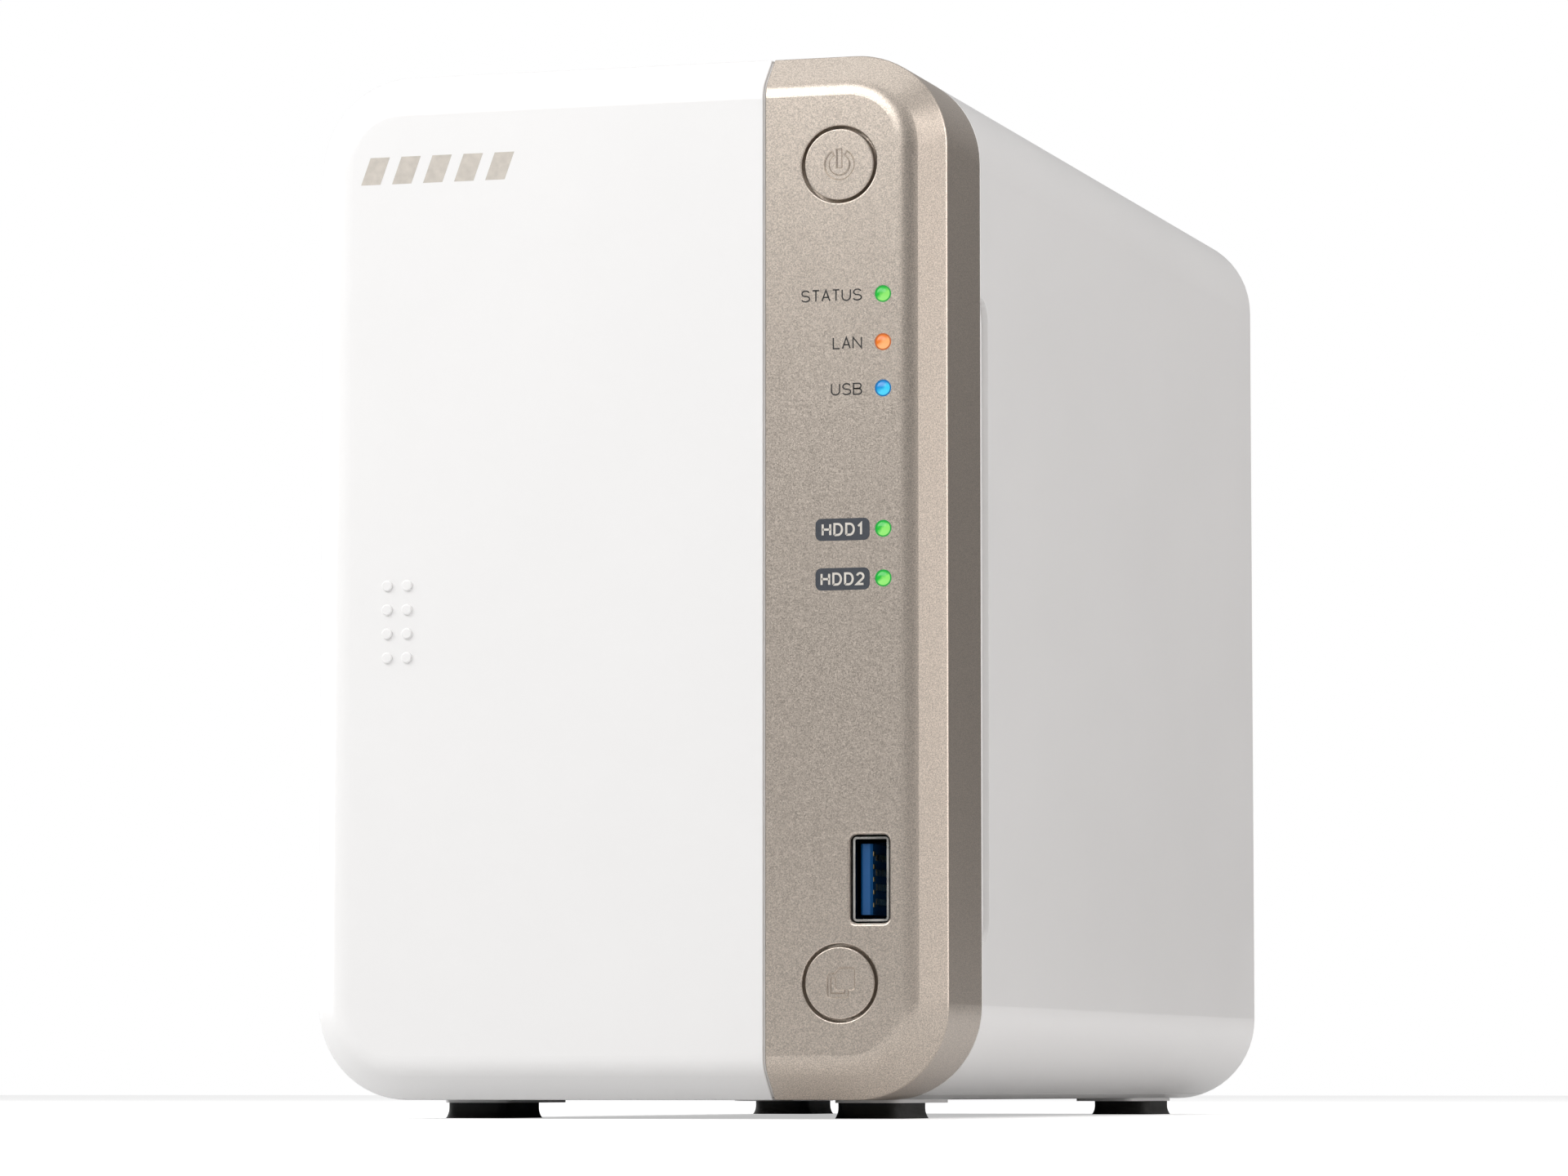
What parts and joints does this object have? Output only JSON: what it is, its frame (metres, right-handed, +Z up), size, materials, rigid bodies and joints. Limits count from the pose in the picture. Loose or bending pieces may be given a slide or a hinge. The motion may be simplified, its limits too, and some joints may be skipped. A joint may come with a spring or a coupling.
{
  "type": "network attached storage",
  "caption": "Upright desktop storage unit: rounded white housing, sliding front cover over drive trays, champagne control strip with buttons, lamps and a USB port, rear fan and ports.",
  "frame": {"origin": "middle of the footprint, on the surface that the rubber feet stand on", "axes": "+Z up, front face towards -Y, +X to the right seen from the front"},
  "size_m": [0.105, 0.2268, 0.168],
  "materials": {
    "white_plastic": "smooth glossy white moulding",
    "champagne_paint": "satin champagne metallic paint with a fine sparkle",
    "frame_plastic": "fine-textured dark grey moulding",
    "cage_plastic": "fine-textured grey moulding",
    "tray_plastic": "fine-textured black moulding",
    "handle_plastic": "smooth dark grey moulding",
    "latch_plastic": "smooth blue-grey moulding",
    "rubber": "matte black rubber",
    "panel_paint": "fine powder coat, light grey",
    "screw_steel": "black-zinc plated steel",
    "bright_steel": "zinc plated steel",
    "port_shell": "tin plated sheet",
    "usb_blue": "smooth blue moulding",
    "black_plastic": "smooth black moulding",
    "circuit_board": "green solder mask with copper tracks",
    "chip": "matte black moulded package",
    "heatsink": "extruded and anodised",
    "capacitor": "bare aluminium can with a crimped rim",
    "drive_casting": "sand-blasted casting",
    "drive_lid": "pressed bright steel",
    "brass": "bare brass",
    "bearing": "sintered bronze",
    "fan_plastic": "smooth black moulding",
    "ribbon": "flexible grey ribbon",
    "lamp_green": "lit diffuse lens, green",
    "lamp_orange": "lit diffuse lens, orange",
    "lamp_blue": "lit diffuse lens, blue"
  },
  "bodies": {
    "chassis": {"outer_cover": "white_plastic", "base_tray": "white_plastic", "control_bezel": "champagne_paint", "front_frame": "frame_plastic", "feet": "rubber", "rear_panel": "panel_paint", "cover_screws": "screw_steel", "base_screws": "bright_steel", "tact_switches": "black_plastic", "green_lamp_lenses": "lamp_green", "lan_lamp_lens": "lamp_orange", "usb_lamp_lens": "lamp_blue", "light_pipe_holder": "black_plastic", "led_emitters": "ribbon", "front_board": "circuit_board", "front_board_screws": "bright_steel", "front_usb_shell": "port_shell", "front_usb_tongue": "usb_blue", "front_ribbon": "ribbon", "ribbon_sockets": "black_plastic", "drive_cage": "cage_plastic", "backplane": "circuit_board", "sata_sockets": "black_plastic", "board_standoffs": "brass", "board_screws": "bright_steel", "mainboard": "circuit_board", "mainboard_chips": "chip", "heatsink": "heatsink", "capacitors": "capacitor", "coils": "chip", "coin_cell": "bright_steel", "coin_cell_holder": "black_plastic", "esata_port": "port_shell", "rear_usb_shells": "port_shell", "rear_usb_tongues": "usb_blue", "lan_port": "port_shell", "power_inlet": "black_plastic", "power_inlet_pin": "port_shell", "reset_switch": "black_plastic", "fan_frame": "fan_plastic", "fan_bearing": "bearing", "fan_screws": "screw_steel"},
    "front_cover_body": {"front_cover": "white_plastic"},
    "power_button_body": {"power_button": "champagne_paint"},
    "copy_button_body": {"copy_button": "champagne_paint"},
    "reset_button_body": {"reset_button": "black_plastic"},
    "fan_rotor_body": {"fan_rotor": "fan_plastic", "fan_shaft": "bright_steel"},
    "tray_body_1": {"tray_1": "tray_plastic", "drive_case_1": "drive_casting", "drive_lid_1": "drive_lid", "drive_screws_1": "bright_steel"},
    "handle_body_1": {"tray_handle_1": "handle_plastic"},
    "latch_body_1": {"tray_latch_1": "latch_plastic"},
    "tray_body_2": {"tray_2": "tray_plastic", "drive_case_2": "drive_casting", "drive_lid_2": "drive_lid", "drive_screws_2": "bright_steel"},
    "handle_body_2": {"tray_handle_2": "handle_plastic"},
    "latch_body_2": {"tray_latch_2": "latch_plastic"}
  },
  "joints": [
    {"name": "front_cover_slide", "type": "slide", "parent": "chassis", "child": "front_cover_body", "axis": [-1, 0, 0], "range_m": [0, 0.078]},
    {"name": "power_button_press", "type": "slide", "parent": "chassis", "child": "power_button_body", "axis": [0, 1, 0], "range_m": [0, 0.0008], "stiffness_N_per_m": 1500, "springref_m": -0.0004},
    {"name": "copy_button_press", "type": "slide", "parent": "chassis", "child": "copy_button_body", "axis": [0, 1, 0], "range_m": [0, 0.0008], "stiffness_N_per_m": 1500, "springref_m": -0.0004},
    {"name": "reset_button_press", "type": "slide", "parent": "chassis", "child": "reset_button_body", "axis": [0, -1, 0], "range_m": [0, 0.0006], "stiffness_N_per_m": 1500, "springref_m": -0.0004},
    {"name": "fan_spin", "type": "hinge", "parent": "chassis", "child": "fan_rotor_body", "pos_m": [-0.0142, 0.0974, 0.08], "axis": [0, 1, 0], "continuous": true},
    {"name": "tray_1_slide", "type": "slide", "parent": "chassis", "child": "tray_body_1", "axis": [0, -1, 0], "range_m": [0, 0.015]},
    {"name": "tray_handle_1_swing", "type": "hinge", "parent": "tray_body_1", "child": "handle_body_1", "pos_m": [-0.0441, -0.092, 0.08], "axis": [0, 0, -1], "range_deg": [0, 35]},
    {"name": "tray_latch_1_press", "type": "slide", "parent": "handle_body_1", "child": "latch_body_1", "axis": [0, 1, 0], "range_m": [0, 0.0008], "stiffness_N_per_m": 1500, "springref_m": -0.0004},
    {"name": "tray_2_slide", "type": "slide", "parent": "chassis", "child": "tray_body_2", "axis": [0, -1, 0], "range_m": [0, 0.015]},
    {"name": "tray_handle_2_swing", "type": "hinge", "parent": "tray_body_2", "child": "handle_body_2", "pos_m": [-0.0095, -0.092, 0.08], "axis": [0, 0, -1], "range_deg": [0, 35]},
    {"name": "tray_latch_2_press", "type": "slide", "parent": "handle_body_2", "child": "latch_body_2", "axis": [0, 1, 0], "range_m": [0, 0.0008], "stiffness_N_per_m": 1500, "springref_m": -0.0004}
  ]
}
